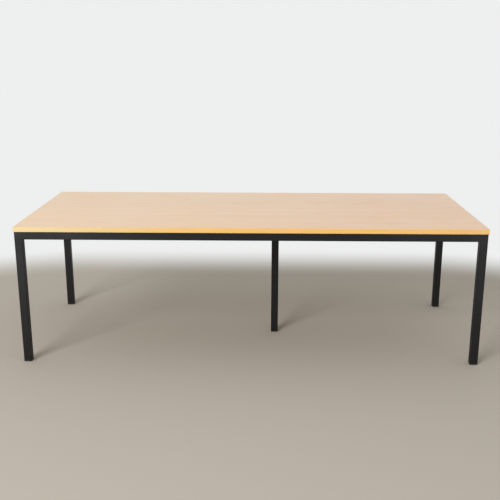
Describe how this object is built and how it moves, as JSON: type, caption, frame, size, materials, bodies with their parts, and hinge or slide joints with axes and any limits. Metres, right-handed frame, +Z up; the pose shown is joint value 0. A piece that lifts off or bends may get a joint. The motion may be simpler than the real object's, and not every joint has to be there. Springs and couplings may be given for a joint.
{
  "type": "conference table",
  "caption": "Long rectangular conference table with a pale veneered timber top on a welded black square-tube frame, with corner legs and a middle leg under a cross rail.",
  "frame": {"origin": "on the floor, under the middle of the top", "axes": "+Z up, +X along the table's length towards the end nearer the middle leg, -Y towards the front"},
  "size_m": [2.4, 1, 0.73],
  "materials": {
    "face_veneer": "satin clear lacquer over pale veneer",
    "edge_timber": "satin clear lacquer over honey-coloured timber",
    "backing_veneer": "thin sealer over veneer",
    "board_core": "raw board",
    "black_frame": "satin black powder coat",
    "foot_plastic": "moulded black plastic",
    "screw_steel": "zinc plated"
  },
  "bodies": {
    "root": {"top_core": "board_core", "top_face": "face_veneer", "top_backing": "backing_veneer", "edge_strip_front": "edge_timber", "edge_strip_back": "edge_timber", "edge_strip_left": "edge_timber", "edge_strip_right": "edge_timber", "leg_front_left": "black_frame", "leg_front_right": "black_frame", "leg_back_left": "black_frame", "leg_back_right": "black_frame", "leg_middle": "black_frame", "rail_front": "black_frame", "rail_back": "black_frame", "rail_left": "black_frame", "rail_right": "black_frame", "rail_cross": "black_frame", "foot_front_left": "foot_plastic", "foot_front_right": "foot_plastic", "foot_back_left": "foot_plastic", "foot_back_right": "foot_plastic", "foot_middle": "foot_plastic", "tab_left": "black_frame", "tab_right": "black_frame", "tab_cross_front": "black_frame", "tab_cross_back": "black_frame", "tab_front_1": "black_frame", "tab_front_2": "black_frame", "tab_front_3": "black_frame", "tab_front_4": "black_frame", "tab_back_1": "black_frame", "tab_back_2": "black_frame", "tab_back_3": "black_frame", "tab_back_4": "black_frame", "screw_left": "screw_steel", "screw_right": "screw_steel", "screw_cross_front": "screw_steel", "screw_cross_back": "screw_steel", "screw_front_1": "screw_steel", "screw_front_2": "screw_steel", "screw_front_3": "screw_steel", "screw_front_4": "screw_steel", "screw_back_1": "screw_steel", "screw_back_2": "screw_steel", "screw_back_3": "screw_steel", "screw_back_4": "screw_steel"}
  },
  "joints": []
}
